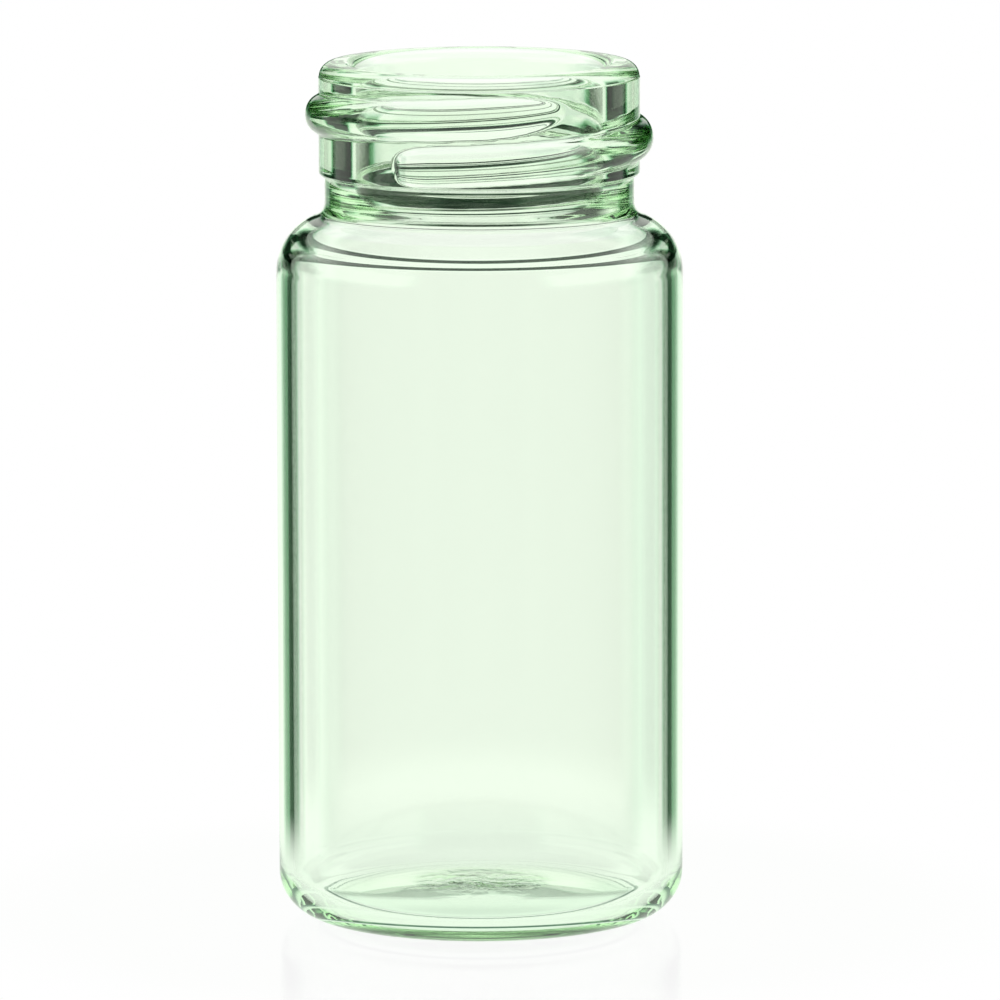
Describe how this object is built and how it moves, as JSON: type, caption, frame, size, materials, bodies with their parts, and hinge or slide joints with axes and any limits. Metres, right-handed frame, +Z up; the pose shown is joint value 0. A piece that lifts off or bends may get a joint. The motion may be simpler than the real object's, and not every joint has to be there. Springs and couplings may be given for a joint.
{
  "type": "glass sample vial",
  "caption": "Open clear-glass sample vial: a straight cylindrical tube with a domed base, rounded shoulder, waisted neck, bold right-hand screw thread and fire-rounded rim.",
  "frame": {"origin": "centre of the ring the vial stands on, on its axis", "axes": "+Z up the vial's axis towards the mouth; -Y is the side where the two thread runs overlap"},
  "size_m": [0.0274, 0.0274, 0.0582],
  "materials": {
    "glass": "clear, fire-polished, pale green where it is thick"
  },
  "bodies": {
    "root": {"vial": "glass"}
  },
  "joints": []
}
